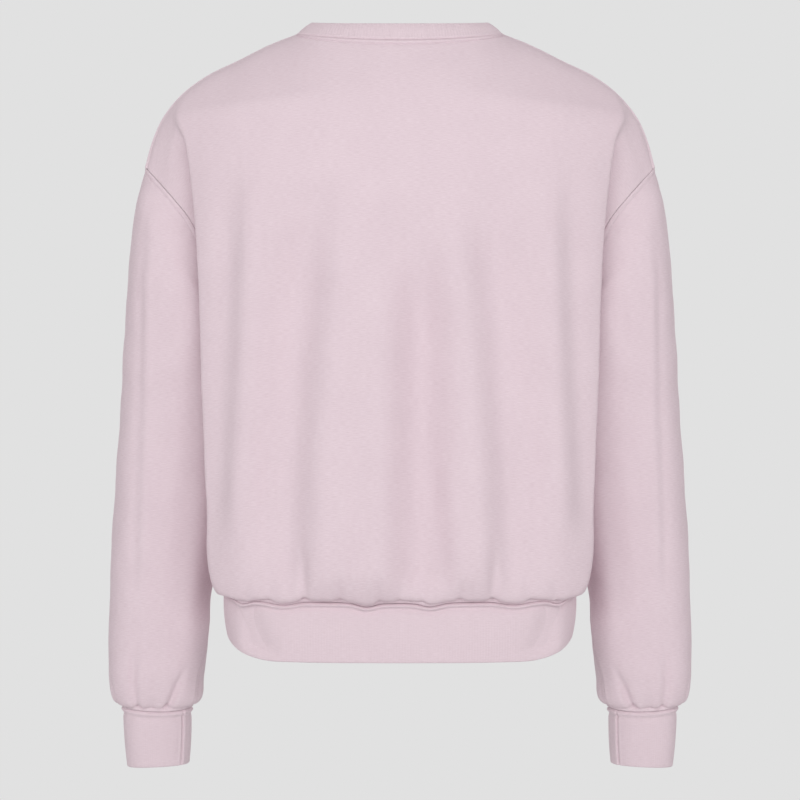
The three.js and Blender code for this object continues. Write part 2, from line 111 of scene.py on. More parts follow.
# Sections from the hem seam up: centre (depth, height), then the side fold, the hollow beside it and
# the sewn edge, each as across, depth, height
BACK_SECTIONS = table(("centre", "fold", "hollow", "edge"), [
    ((100, -577), (159, 66, -575), (177, 33, -568), (180, 0, -564)),
    ((111, -571), (178, 63, -571), (188, 32, -570), (186, 0, -567)),
    ((115, -550), (190, 57, -548), (190, 27, -547), (183, 1, -546)),
    ((110, -480), (196, 54, -480), (190, 24, -480), (178, 2, -480)),
    ((107, -400), (199, 52, -400), (188, 22, -400), (174, 4, -400)),
    ((105, -342), (201, 51, -342), (187, 22, -342), (170, 0, -342)),
    ((104, -292), (202, 51, -292), (186, 22, -292), (165, -14, -292)),
    ((105, -240), (204, 53, -240), (184, 28, -243), (177, 11, -264)),
    ((107, -190), (207, 55, -190), (187, 34, -196), (196, 24, -226)),
    ((106, -145), (211, 55, -148), (199, 36, -156), (214, 30, -191)),
    ((99, -100), (216, 48, -110), (213, 35, -124), (231, 27, -170)),
    ((84, -55), (223, 33, -82), (231, 27, -104), (248, 14, -151)),
])
FRONT_SECTIONS = table(("centre", "fold", "hollow", "edge"), [
    ((-108, -577), (151, -78, -575), (173, -44, -568), (180, 0, -564)),
    ((-119, -571), (160, -84, -571), (181, -46, -570), (186, 0, -567)),
    ((-122, -550), (154, -87, -548), (175, -49, -547), (183, 1, -546)),
    ((-120, -480), (140, -92, -480), (162, -54, -480), (178, 2, -480)),
    ((-119, -400), (134, -96, -400), (155, -55, -400), (174, 4, -400)),
    ((-119, -342), (131, -98, -342), (151, -55, -342), (170, 0, -342)),
    ((-120, -292), (132, -99, -292), (149, -60, -292), (165, -14, -292)),
    ((-121, -245), (140, -101, -243), (154, -77, -248), (167, -49, -262)),
    ((-119, -200), (150, -101, -195), (168, -88, -204), (181, -68, -226)),
    ((-112, -160), (163, -95, -150), (186, -88, -168), (203, -76, -190)),
    ((-99, -128), (180, -80, -112), (208, -76, -138), (226, -66, -165)),
    ((-85, -105), (201, -50, -80), (228, -50, -110), (248, -38, -148)),
])
# The section of both panels that ends at the underarm
UNDERARM = 6

# Sections of the sleeve: outer and inner line as across and height, depth of the middle, half thickness
SLEEVE_SECTIONS = table(("outer", "inner", "middle", "half"), [
    ((270, -158), (175, -299), -22, 52),
    ((276, -187), (171, -306), -23, 55),
    ((282, -245), (170, -328), -28, 58),
    ((287, -310), (167, -362), -36, 60),
    ((291, -375), (169, -402), -42, 60),
    ((296, -440), (177, -452), -46, 58),
    ((301, -515), (187, -515), -49, 54),
    ((304, -585), (199, -582), -51, 50),
    ((305, -640), (202, -636), -51, 46),
    ((305, -668), (206, -663), -51, 44),
    ((300, -689), (208, -687), -51, 39),
    ((290, -694), (219, -696), -51, 31),
])
CUFF_FOOT = {"outer": (286, -757), "inner": (221, -754), "middle": -53, "half": 29}

# Folds: each has a crest and a trough beside each other, with its place on the line between them. The
# place is across, or turned round the sleeve in degrees, at top, middle and foot. The depth is from the
# crest to the trough, the spread is the distance of each from the line, and crest is the crest's side.
BACK_FOLDS = table(("place", "top", "foot", "depth", "spread", "crest"), [
    ((158, 166, 178), -120, -540, 9.0, 14, -1),
    ((60, 89, 95), -125, -600, 22.0, 23, -1),
    ((-4, 1, 2), -190, -612, 25.0, 23, 1),
    ((-62, -88, -96), -130, -600, 21.5, 23, 1),
    ((-159, -167, -178), -125, -535, 8.7, 14, 1),
    ((43, 47, 55), -400, -600, 3.0, 8, 1),
    ((-40, -46, -56), -410, -600, 3.2, 8, -1),
    ((122, 129, 136), -360, -592, 2.6, 10, -1),
    ((-120, -128, -137), -340, -592, 2.6, 10, 1),
])
# Short creases over the hem seam: at the spread a crease has lost about two thirds of its depth
HEM_CREASES = table(("place", "top", "foot", "depth", "spread"), [
    ((97, 96, 95), -500, -578, 3.4, 5.0),
    ((61, 59, 60), -540, -578, 3.0, 4.5),
    ((23, 21, 20), -530, -578, 2.2, 4.5),
    ((0, 0, 1), -548, -578, 1.6, 4.0),
    ((-22, -23, -22), -548, -578, 2.0, 4.0),
    ((-60, -61, -59), -545, -578, 3.0, 4.5),
    ((-94, -93, -92), -505, -578, 3.3, 5.0),
    ((128, 130, 131), -545, -578, 2.0, 5.5),
    ((-127, -129, -131), -540, -578, 2.0, 5.5),
    ((152, 155, 158), -548, -578, 2.2, 5.0),
    ((-153, -156, -158), -550, -578, 2.2, 5.0),
])
FRONT_FOLDS = table(("place", "top", "foot", "depth", "spread", "crest"), [
    ((66, 82, 92), -180, -596, 12.5, 20, -1),
    ((2, 4, -2), -250, -602, 13.0, 23, 1),
    ((-60, -80, -92), -190, -596, 13.0, 20, 1),
    ((106, 116, 130), -130, -500, 8.0, 15, -1),
    ((-108, -117, -128), -140, -480, 8.0, 16, 1),
    ((34, 40, 46), -380, -600, 3.2, 9, 1),
    ((-32, -40, -48), -360, -600, 3.2, 9, -1),
])
FRONT_CREASES = table(("place", "top", "foot", "depth", "spread"), [
    ((92, 91, 90), -510, -578, 2.6, 5.0),
    ((48, 47, 47), -535, -578, 2.4, 4.5),
    ((12, 11, 10), -545, -578, 2.0, 4.0),
    ((-26, -27, -27), -540, -578, 2.2, 4.5),
    ((-68, -67, -66), -530, -578, 2.5, 5.0),
    ((-110, -109, -108), -540, -578, 2.2, 5.0),
    ((128, 128, 129), -545, -578, 2.0, 5.0),
])
SLEEVE_FOLDS = table(("place", "top", "foot", "depth", "spread", "crest"), [
    ((50, 60, 74), -165, -600, 2.2, 6, 1),
    ((112, 116, 120), -300, -650, 3.0, 12, 1),
    ((-48, -42, -40), -210, -610, 5.0, 13, 1),
    ((-95, -90, -86), -240, -560, 3.6, 14, -1),
    ((-126, -118, -108), -330, -600, 3.2, 12, 1),
])
# Creases that gather the sleeve into its cuff
CUFF_CREASES = table(("place", "top", "foot", "depth", "spread"), [
    ((70, 69, 68), -610, -698, 3.8, 6),
    ((131, 117, 103), -645, -698, 5.2, 5.5),
    ((27, 24, 21), -658, -698, 3.6, 5),
    ((88, 87, 86), -676, -698, 1.8, 5),
    ((162, 159, 157), -645, -698, 2.6, 5),
    ((-20, -22, -22), -640, -698, 3.4, 6),
    ((-58, -56, -55), -655, -698, 3.0, 6),
    ((-98, -96, -95), -630, -698, 3.8, 6),
    ((-140, -138, -136), -655, -698, 3.0, 6),
])


def tangents(knots, points):
    """Slopes between the neighbours of each point along the first axis."""
    before = np.r_[0, np.arange(len(points) - 1)]
    after = np.r_[np.arange(1, len(points)), len(points) - 1]
    run = knots[after] - knots[before]
    return (points[after] - points[before]) / run[..., None]


def curve_at(knots, points, places):
    """A smooth curve through points, at places given as whole and part steps from point to point."""
    slopes = tangents(knots, points)
    i = np.minimum(np.floor(places).astype(int), len(points) - 2)
    w = (places - i).reshape((-1,) + (1,) * (points.ndim - 1))
    span = (knots[i + 1] - knots[i])[..., None]
    return (points[i] * (1 + 2 * w) * (1 - w) ** 2 + slopes[i] * w * (1 - w) ** 2 * span
            + points[i + 1] * w * w * (3 - 2 * w) - slopes[i + 1] * w * w * (1 - w) * span)


def steps_of(knots, values):
    """Turns distances along a curve into whole and part steps between its knots."""
    i = np.clip(np.searchsorted(knots, values, side="right") - 1, 0, len(knots) - 2)
    return i + (values - knots[i]) / (knots[i + 1] - knots[i])


def lengths_along(points):
    """Distance along the first axis, from its start."""
    steps = np.linalg.norm(np.diff(points, axis=0), axis=-1)
    return np.concatenate([np.zeros((1,) + steps.shape[1:]), np.cumsum(steps, axis=0)])


def at_lengths(wanted, lengths, points):
    """Points of a line at the wanted distances, from its points and their distances along it."""
    return np.stack([np.interp(wanted, lengths, points[:, k]) for k in range(3)], axis=-1)


def neckline(turn, neck):
    """The neckline's seam, as turn goes from 0 at its centre to 1 at the shoulder seam."""
    angle = turn * math.pi / 2
    rise = 1 - np.cos(angle) ** NECK_FLATNESS
    return np.stack([
        NECK_HALF_WIDTH * np.sin(angle),
        neck["depth"] * np.cos(angle),
        neck["height"] + (NECK_SIDE_HEIGHT - neck["height"]) * rise,
    ], axis=-1)


def shoulder_seam(share):
    """The shoulder seam, as share goes from 0 at the neckline to 1 at the armhole."""
    knots = lengths_along(SHOULDER_LINE)
    return curve_at(knots, SHOULDER_LINE, steps_of(knots, share * knots[-1]))


def top_edge(shares, neck):
    """A panel's top edge: its neckline and then its shoulder seam."""
    on_neck = neckline(np.minimum(shares / NECK_SHARE, 1.0), neck)
    on_shoulder = shoulder_seam(np.maximum(shares - NECK_SHARE, 0.0) / (1 - NECK_SHARE))
    return np.where((shares <= NECK_SHARE)[:, None], on_neck, on_shoulder)


def across_section(section, beyond, shares):
    """Points of one section at the given shares. Below the underarm it runs on into the other panel."""
    depth, height = section["centre"]
    fold = np.array(section["fold"], float)
    blade = np.array([
        BLADE_OUT * fold[0],
        fold[1] + (depth - fold[1]) * BLADE_FULLNESS,
        height + (fold[2] - height) * BLADE_OUT,
    ])
    knots = [-BLADE_SHARE, 0, BLADE_SHARE, FOLD_SHARE, HOLLOW_SHARE, 1]
    points = [blade * (-1, 1, 1), (0, depth, height), blade, fold, section["hollow"], section["edge"]]
    if beyond:
        knots.append(2 - HOLLOW_SHARE)
        points.append(beyond["hollow"])
    knots = np.array(knots)
    return curve_at(knots, np.array(points, float), steps_of(knots, shares))


# How finely each piece is made: columns over half a panel and half a sleeve, and round each band
PANEL_COLUMNS = 104
HALF_SLEEVE = 100
HEM_COLUMNS = 1400
CUFF_COLUMNS = 480
NECK_COLUMNS = 1600
# Spacing of the rows of each piece, and of the finer rows beside its seams
PANEL_SPACING = 3.2
SLEEVE_SPACING = 3.0
SEAM_SPACING = 0.9
SEAM_REACH = 9.0
# Shares of half a panel's width: where its even columns end, and its finer ones start at the sewn edge
EVEN_SHARE = 0.962
FINE_SHARE = 0.966
FINE_COLUMNS = 9


def row_places(points, spacing):
    """Places along columns: about spacing apart, and finer by the seams at both ends."""
    lengths = lengths_along(points).mean(axis=1)
    start = np.arange(0, SEAM_REACH, SEAM_SPACING)
    end = lengths[-1] - start[::-1]
    high = lengths[-1] - SEAM_REACH
    middle = np.linspace(SEAM_REACH, high, max(2, int(round((high - SEAM_REACH) / spacing))))
    return steps_of(lengths, np.concatenate([start, middle, end]))


def panel_shares():
    """Shares of half a panel's width: even over the back, finer at the sewn edge."""
    even = np.linspace(0, EVEN_SHARE, PANEL_COLUMNS)
    return np.concatenate([even, np.linspace(FINE_SHARE, 1.0, FINE_COLUMNS)])


def neck_corner():
    """The column of half a panel where its neckline meets the shoulder seam."""
    return int(np.searchsorted(panel_shares(), NECK_SHARE))


def shoulder_columns():
    """How many columns of half a panel end at the shoulder seam."""
    return len(panel_shares()) - 1 - neck_corner()


def half_panel(sections, others, neck):
    """Half of a panel's outer surface, from its centre line outwards, as rows from the hem up."""
    shares = panel_shares()
    levels = [
        across_section(section, others[i] if i <= UNDERARM else None, shares)
        for i, section in enumerate(sections)
    ]
    top = top_edge(shares, neck)
    over_shoulder = across_section(others[-1], None, shares)
    straight_on = 2 * top - levels[-1]
    share_over = np.minimum(1, shares / NECK_SHARE)[:, None] ** SHOULDER_TURN
    path = np.stack([*levels, top, straight_on + (over_shoulder - straight_on) * share_over])
    places = row_places(path[:-1], PANEL_SPACING)
    return curve_at(lengths_along(path), path, places), places


def mirrored(grid):
    return grid * (-1, 1, 1)


def whole_panel(half, side):
    """The half and its mirror image, anticlockwise from above."""
    whole = np.concatenate([half[:, :0:-1], mirrored(half)], axis=1)
    return whole if side > 0 else mirrored(whole)


def normals_of(grid, closed):
    """Outward normals of a grid whose columns crossed with its rows point out."""
    up = np.gradient(grid, axis=0)
    if closed:
        along = np.roll(grid, -1, axis=1) - np.roll(grid, 1, axis=1)
    else:
        along = np.gradient(grid, axis=1)
    normals = np.cross(along, up)
    return normals / np.maximum(np.linalg.norm(normals, axis=-1, keepdims=True), 1e-9)


def bend(three, w):
    """The parabola through three values, where w is 0, a half and 1."""
    start, middle, end = three
    return start * (1 - w) * (1 - 2 * w) + middle * 4 * w * (1 - w) + end * w * (2 * w - 1)


def smooth(value):
    """Eases from 0 to 1 as the value goes from 0 to 1, and stays there beyond."""
    value = np.clip(value, 0, 1)
    return value * value * (3 - 2 * value)


# The height from trough to crest of the wave a exp(-a a / 2)
CREST_TO_TROUGH = 1.213
# How fast folds and creases deepen, as multiples of the share of their length from each end
FOLD_EASE = {"top": 3.6, "foot": 6}
CREASE_EASE = 1.4


def fold_height(folds, heights, distance_to):
    """Height of a table's folds over the plain surface: a crest on one side, a trough on the other."""
    total = np.zeros_like(heights)
    for fold in folds:
        w = (fold["top"] - heights) / (fold["top"] - fold["foot"])
        inside = (w > 0) & (w < 1)
        ease = smooth(np.minimum(FOLD_EASE["top"] * w, FOLD_EASE["foot"] * (1 - w)))
        away = distance_to(fold, np.clip(w, 0, 1)) / fold["spread"]
        wave = fold["crest"] * away * np.exp(-away * away / 2)
        total += np.where(inside, fold["depth"] / CREST_TO_TROUGH * ease * wave, 0)
    return total


def creased(creases, heights, distance_to):
    """Short creases that deepen down to the seam that they hang from."""
    total = np.zeros_like(heights)
    for crease in creases:
        w = np.clip((crease["top"] - heights) / (crease["top"] - crease["foot"]), 0, 1)
        ease = smooth(CREASE_EASE * w)
        away = distance_to(crease, w) / crease["spread"]
        total += crease["depth"] * ease * np.exp(-away * away)
    return total


# Unevenness of worn cloth: the heights and sizes of a broad one and of a fine one
PANEL_UNEVENNESS = {"broad": 0.20, "broad_size": 60, "fine": 0.07, "fine_size": 17}
SLEEVE_UNEVENNESS = {"broad": 0.35, "broad_size": 55, "fine": 0.08, "fine_size": 17}
BACK_SEED = 1
FRONT_SEED = 5
SLEEVE_SEED = 11
NOISE_WAVES = 14
NOISE_STRETCH = (0.7, 1.5)


def seeded_noise(u, v, size, seed):
    """Smooth seeded noise over flat cloth coordinates, around 0, with features about size wide."""
    rng = np.random.default_rng(seed)
    total = np.zeros_like(u)
    lowest = (0, 0, NOISE_STRETCH[0])
    highest = (math.tau, math.tau, NOISE_STRETCH[1])
    for angle, phase, stretch in rng.uniform(lowest, highest, (NOISE_WAVES, 3)):
        reach = math.tau / (size * stretch)
        total += np.sin(reach * (u * math.cos(angle) + v * math.sin(angle)) + phase)
    return total / math.sqrt(NOISE_WAVES)


def unevenness(uv, kind, seed):
    """The broad and the fine unevenness of a piece, over its flat coordinates."""
    u, v = uv[..., 0], uv[..., 1]
    broad = kind["broad"] * seeded_noise(u, v, kind["broad_size"], seed)
    return broad + kind["fine"] * seeded_noise(u, v, kind["fine_size"], seed + 1)


def build_mesh(name, points, faces, uv):
    """A Blender mesh object from points in millimetres, quads and one UV pair for each point."""
    mesh = bpy.data.meshes.new(name)
    mesh.from_pydata((points * MM).tolist(), [], faces.tolist())
    layer = mesh.uv_layers.new(name="UVMap")
    loops = np.empty(len(mesh.loops), dtype=np.int32)
    mesh.loops.foreach_get("vertex_index", loops)
    layer.data.foreach_set("uv", (uv[loops] * MM).astype(np.float32).ravel())
    mesh.polygons.foreach_set("use_smooth", np.ones(len(mesh.polygons), dtype=bool))
    mesh.update()
    piece = bpy.data.objects.new(name, mesh)
    bpy.context.scene.collection.objects.link(piece)
    return piece


def pulled_back(grid, distance, closed):
    """Pulls the border of a grid back along the cloth, so that sewn pieces stay apart."""
    pulled = grid.copy()

    def pull(edge, inner):
        step = grid[inner] - grid[edge]
        pulled[edge] += step / np.linalg.norm(step, axis=-1, keepdims=True) * distance

    pull(np.s_[0], np.s_[1])
    pull(np.s_[-1], np.s_[-2])
    if not closed:
        pull(np.s_[:, 0], np.s_[:, 1])
        pull(np.s_[:, -1], np.s_[:, -2])
    return pulled


def shell(name, grid, normals, uv, closed):
    """A cloth wall: the outer grid, the grid moved in by the cloth's thickness, and its rims."""
    outer = pulled_back(grid, SEAM_GAP / 2, closed)
    inner = pulled_back(outer - normals * FLEECE, INNER_SETBACK, closed)
    rows, columns = grid.shape[:2]
    index = np.arange(2 * rows * columns).reshape(2, rows, columns)
    if closed:
        index = np.concatenate([index, index[:, :, :1]], axis=2)
    out, inn = index
    quads = [
        np.stack([out[:-1, :-1], out[:-1, 1:], out[1:, 1:], out[1:, :-1]], axis=-1).reshape(-1, 4),
        np.stack([inn[:-1, :-1], inn[1:, :-1], inn[1:, 1:], inn[:-1, 1:]], axis=-1).reshape(-1, 4),
        np.stack([inn[0, :-1], inn[0, 1:], out[0, 1:], out[0, :-1]], axis=-1),
        np.stack([out[-1, :-1], out[-1, 1:], inn[-1, 1:], inn[-1, :-1]], axis=-1),
    ]
    if not closed:
        quads.append(np.stack([inn[:-1, 0], out[:-1, 0], out[1:, 0], inn[1:, 0]], axis=-1))
        quads.append(np.stack([out[:-1, -1], inn[:-1, -1], inn[1:, -1], out[1:, -1]], axis=-1))
    points = np.concatenate([outer.reshape(-1, 3), inner.reshape(-1, 3)])
    flat = np.concatenate([uv.reshape(-1, 2)] * 2)
    return build_mesh(name, points, np.concatenate(quads), flat)


def flat_coordinates(grid, closed):
    """Distances across and along a grid of cloth, in millimetres, as its flat coordinates."""
    columns = grid.shape[1]
    across = lengths_along(grid.transpose(1, 0, 2)).T
    middle = across[:, columns // 2:columns // 2 + 1] if not closed else 0
    return np.stack([across - middle, lengths_along(grid)], axis=-1)


def border_distance(grid, axis, end):
    """Distance along one axis of a grid to its border at the start or the end."""
    lengths = lengths_along(grid) if axis == 0 else lengths_along(grid.transpose(1, 0, 2)).T
    if end:
        lengths = (lengths[-1:] if axis == 0 else lengths[:, -1:]) - lengths
    return lengths


def hump(distance, at, width, height):
    """A soft rounded rise, or a groove where its height is negative, at a distance from a seam."""
    return height * np.exp(-((distance - at) / width) ** 2)


# Relief of the seams of panels and sleeves: cloth rolled over the seam, and the groove beside the roll
HEM_ROLL = {"at": 1.4, "width": 1.1, "height": 0.6}
HEM_GROOVE = {"at": 4.4, "width": 1.6, "height": -0.9}
NECK_ROLL = {"at": 2.6, "width": 1.7, "height": 1.2}
NECK_GROOVE = {"at": STITCH_LINE, "width": 1.1, "height": -0.9}
NECK_EDGE = {"at": 0, "width": 1.0, "height": -0.3}
SIDE_ROLL = {"at": 2.4, "width": 1.8, "height": 0.15}
HEAD_ROLL = {"at": 2.4, "width": 1.8, "height": 0.4}
HEAD_GROOVE = {"at": STITCH_LINE, "width": 1.2, "height": -0.25}
FOOT_ROLL = {"at": 1.6, "width": 1.1, "height": 0.8}
FOOT_GROOVE = {"at": 4.4, "width": 1.4, "height": -0.8}
UNDERARM_ROLL = {"at": 0, "width": 5.0, "height": 1.3}
UNDERARM_GROOVE = {"at": 0, "width": 1.8, "height": -2.8}

# Distances from a border over which shapes come in or fade out: on panels
HEM_WAVE_FADE = 40
HEM_FOLD_FADE = 38
HEM_CREASE_FADE = 5
HEM_ROLL_FADE = 1.8
NECK_FADE = 10
PANEL_EDGE_FADE = 6
SIDE_SEAM_FADE = 50
# and on sleeves
SAG_FADE = 30
FOOT_FOLD_FADE = 30
HEAD_FOLD_FADE = 20
FOOT_CREASE_FADE = 4
SLEEVE_EDGE_FADE = 8

# How the bend below each neck corner is evened out: columns to each side, passes, the share of the
# bend taken out by a pass, and the distances from the top edge where it starts and comes in
CORNER_REACH = 16
CORNER_PASSES = 60
CORNER_PULL = 0.4
CORNER_START = 1
CORNER_FADE = 25

# Where the hem seam hangs lowest
HEM_LOWS = table(("across", "drop", "spread"), [
    (158, 4.5, 9),
    (117, 3.6, 16),
    (33, 3.8, 11),
    (-30, 3.6, 12),
    (-114, 3.4, 17),
    (-159, 4.4, 9),
])


def hem_wave(x, y):
    """How far the hem seam hangs below its plain line: it is pulled down between its gathers."""
    total = np.zeros_like(x)
    for low in HEM_LOWS:
        total += low["drop"] * np.exp(-((x - low["across"]) / low["spread"]) ** 2)
    return total * smooth(np.abs(y) / SIDE_SEAM_FADE)


def eased_by_neck(half):
    """Evens out the bend below the corner where the neckline meets the shoulder seam."""
    corner = neck_corner()
    near = np.s_[:, corner - CORNER_REACH:corner + CORNER_REACH + 1]
    from_top = border_distance(half, 0, True)[near]
    below = smooth((from_top - CORNER_START) / CORNER_FADE)[:, 1:-1, None]
    eased = half.copy()
    for _ in range(CORNER_PASSES):
        part = eased[near]
        part[:, 1:-1] += CORNER_PULL * below * (part[:, :-2] + part[:, 2:] - 2 * part[:, 1:-1])
    return eased


def finished_panel(half, side, folds, creases, seed):
    """A whole panel with its folds, creases, unevenness and the relief of its seams."""
    grid = whole_panel(half, side)
    uv = flat_coordinates(grid, False)
    hem = border_distance(grid, 0, False)
    neck = border_distance(grid, 0, True)
    grid[..., 2] -= hem_wave(grid[..., 0], grid[..., 1]) * smooth(1 - hem / HEM_WAVE_FADE)
    normals = normals_of(grid, False)
    x, z = grid[..., 0], grid[..., 2]

    def across(fold, w):
        return x - bend(fold["place"], w)

    sides = np.minimum(border_distance(grid, 1, False), border_distance(grid, 1, True))
    inside = smooth(sides / PANEL_EDGE_FADE)
    waves = fold_height(folds, z, across) * smooth(hem / HEM_FOLD_FADE)
    sink = creased(creases, z, across) * smooth(hem / HEM_CREASE_FADE)
    lift = unevenness(uv, PANEL_UNEVENNESS, seed) * smooth(np.minimum(hem, neck) / PANEL_EDGE_FADE) * inside
    lift += (waves - sink) * smooth(neck / NECK_FADE) * inside
    lift += hump(hem, **HEM_ROLL) * smooth(hem / HEM_ROLL_FADE) + hump(hem, **HEM_GROOVE)
    lift += hump(neck, **NECK_ROLL) + hump(neck, **NECK_GROOVE) + hump(neck, **NECK_EDGE)
    lift += hump(sides, **SIDE_ROLL)
    return grid + normals * lift[..., None], normals, uv


def tube_point(section, angles):
    """Points of a sleeve or cuff section, from angle 0 at the outer line, positive over the back."""
    outer, inner = np.array(section["outer"], float), np.array(section["inner"], float)

    def rounded(value):
        return np.sign(value) * np.abs(value) ** (2 / SLEEVE_SQUARENESS)

    across = rounded(np.cos(angles))[:, None] / 2
    line = (outer + inner) / 2 + (outer - inner) * across
    depth = section["middle"] + section["half"] * rounded(np.sin(angles))
    return np.stack([line[:, 0], depth, line[:, 1]], axis=-1)


def cuff_sag(angles):
    """How far the cuff's seam hangs below its plain line, over the back of the wrist and under it."""
    return CUFF_SAG * np.sin(angles) ** 2


def resampled(points, count):
    """count points at even distances along a line, without its last one."""
    lengths = lengths_along(points)
    return at_lengths(np.linspace(0, lengths[-1], count + 1)[:-1], lengths, points)


def sleeve_grid(loop, angles):
    """The left sleeve's outer surface, from the armhole seam down, and its flat coordinates."""
    path = np.stack([loop, *(tube_point(section, angles) for section in SLEEVE_SECTIONS)])
    places = row_places(path, SLEEVE_SPACING)
    grid = curve_at(lengths_along(path), path, places)
    uv = flat_coordinates(grid, True)
    uv[..., 1] = -border_distance(grid, 0, True)
    grid[..., 2] -= cuff_sag(angles) * smooth(1 + uv[..., 1] / SAG_FADE)
    z = grid[..., 2]
    turned = np.broadcast_to(angles, z.shape)

    def from_turn(turn):
        away = turned - np.radians(turn)
        return SLEEVE_RADIUS * np.arctan2(np.sin(away), np.cos(away))

    def around(fold, w):
        return from_turn(bend(fold["place"], w))

    head = border_distance(grid, 0, False)
    foot = border_distance(grid, 0, True)
    inside = smooth(np.minimum(head, foot) / SLEEVE_EDGE_FADE)
    near_cuff = smooth((SLEEVE_SEAM["below"] - z) / SLEEVE_SEAM["over"])
    from_seam = from_turn(SLEEVE_SEAM["turn"] - SLEEVE_SEAM["shift"] * near_cuff)
    lift = unevenness(uv, SLEEVE_UNEVENNESS, SLEEVE_SEED) * inside
    folds = fold_height(SLEEVE_FOLDS, z, around)
    lift += folds * smooth(foot / FOOT_FOLD_FADE) * smooth(head / HEAD_FOLD_FADE)
    lift -= creased(CUFF_CREASES, z, around) * smooth(foot / FOOT_CREASE_FADE)
    lift += hump(head, **HEAD_ROLL) + hump(head, **HEAD_GROOVE)
    lift += hump(foot, **FOOT_ROLL) + hump(foot, **FOOT_GROOVE)
    lift += (hump(from_seam, **UNDERARM_ROLL) + hump(from_seam, **UNDERARM_GROOVE)) * inside
    normals = normals_of(grid, True)
    return grid + normals * lift[..., None], uv


def ring_mesh(name, sections, uv):
    """A tube that closes on itself through closed sections, as columns by points of the section."""
    columns, around = sections.shape[:2]
    index = np.arange(columns * around).reshape(columns, around)
    after = np.roll(index, -1, axis=0)
    quads = np.stack([index, after, np.roll(after, -1, axis=1), np.roll(index, -1, axis=1)], axis=-1)
    return build_mesh(name, sections.reshape(-1, 3), quads.reshape(-1, 4), uv.reshape(-1, 2))


# The share of a band's height, at its seam, that has finer rows, and the points of its section there,
# down its inside and round its fold
SEAM_SHARE = 0.13
SEAM_ROWS = 9
INSIDE_ROWS = 7
FOLD_POINTS = 7
# A section's points are on its outside above this depth share, and inside it ribs are weaker, facing in
OUTSIDE_DEPTH = 0.4
INSIDE_RELIEF = -0.6
# Shares of a band's height over which its ribs come in at the seam and end past the fold, and over
# which its creases come in
RIB_START = 0.06
RIB_END = 1.1
RIB_FADE = 0.1
SINK_START = 0.08
# The groove beside a band's ridge, in widths of the ridge and as a share of its height
GROOVE_SHIFT = 2.2
GROOVE_DEPTH = 0.4


def band_section(rows, roll):
    """The outline of a folded band's section as height share and depth share: up outside, down inside."""
    by_seam = np.linspace(0, SEAM_SHARE, SEAM_ROWS)
    up = np.concatenate([by_seam, np.linspace(SEAM_SHARE, 1, rows)[1:]])
    down = np.linspace(1, 0, INSIDE_ROWS)
    turn = np.linspace(0, math.pi, FOLD_POINTS)[1:-1]
    top = np.stack([1 + roll * np.sin(turn), (1 + np.cos(turn)) / 2], axis=-1)
    outside = np.stack([up, np.ones_like(up)], axis=-1)
    inside = np.stack([down, np.zeros_like(down)], axis=-1)
    return np.concatenate([outside, top, inside])


def folded_band(name, low, high, band, sink):
    """A folded band of rib between two loops of points that run anticlockwise from above. Its fold is at
    the loop high where it folds up, and otherwise at low. sink(x, y, place) is how deep its creases and
    seams are at a point, where place runs from 0 at low to 1 at high."""
    along = np.roll(high, -1, axis=0) - np.roll(high, 1, axis=0)
    axis = high - low
    out = np.cross(along, axis)
    out /= np.linalg.norm(out, axis=-1, keepdims=True)
    length = lengths_along(np.concatenate([high, high[:1]]))
    height = np.linalg.norm(axis, axis=-1).mean()
    outline = band_section(band["rows"], FOLDED_RIB / 2 / height)
    w, depth = outline[:, 0], outline[:, 1]
    place = w if band["folds_up"] else 1 - w
    count = round(length[-1] / band["pitch"])
    rib = 0.5 + 0.5 * np.cos(math.tau * count * length[:-1] / length[-1])
    ends = smooth(w / RIB_START) * smooth((RIB_END - w) / RIB_FADE)
    outside = depth > OUTSIDE_DEPTH
    lift = band["crown"] * 4 * np.clip(w * (1 - w), 0, 1) * outside
    lift = lift + band["relief"] * rib[:, None] * ends * np.where(outside, 1, INSIDE_RELIEF)
    seam = np.abs(w) * height
    groove_at = band["ridge_at"] + GROOVE_SHIFT * band["ridge_width"]
    ridge = hump(seam, band["ridge_at"], band["ridge_width"], band["edge"])
    groove = hump(seam, groove_at, band["ridge_width"], GROOVE_DEPTH * band["edge"])
    lift = lift + (ridge - groove) * outside
    middle = low[:, None] + axis[:, None] * place[:, None]
    lift = lift - sink(middle[..., 0], middle[..., 1], place) * outside * smooth(w / SINK_START)
    sections = middle + out[:, None] * ((depth - 1) * FOLDED_RIB + lift)[..., None]
    if not band["folds_up"]:
        sections = sections[:, ::-1]
    span = np.broadcast_to(length[:-1, None], sections.shape[:2])
    flat = np.concatenate([[0], np.cumsum(np.linalg.norm(np.diff(sections[0], axis=0), axis=-1))])
    uv = np.stack([span, np.broadcast_to(flat, sections.shape[:2])], axis=-1)
    return ring_mesh(name, sections, uv)


# Ribs stand at their pitch and by their relief; the crown is the rise of a band's middle; a ridge runs
# along the seam where the edge of the other cloth is sewn in
NECK_BAND = {
    "rows": 9, "folds_up": True, "pitch": 3.0, "relief": 0.36, "crown": 1.0,
    "edge": 0.5, "ridge_at": 2.2, "ridge_width": 1.3,
}
HEM_BAND = {
    "rows": 18, "folds_up": False, "pitch": 2.8, "relief": 0.06, "crown": 2.0,
    "edge": 3.2, "ridge_at": 2.3, "ridge_width": 1.4,
}
CUFF_BAND = {
    "rows": 18, "folds_up": False, "pitch": 2.4, "relief": 0.05, "crown": 1.0,
    "edge": 1.8, "ridge_at": 3.0, "ridge_width": 2.0,
}

# Distance from the side seam over which creases come in, and how fast they do from the foot and the top
FACING_FADE = 30
HEM_SINK_EASE = {"foot": 4, "top": 8}
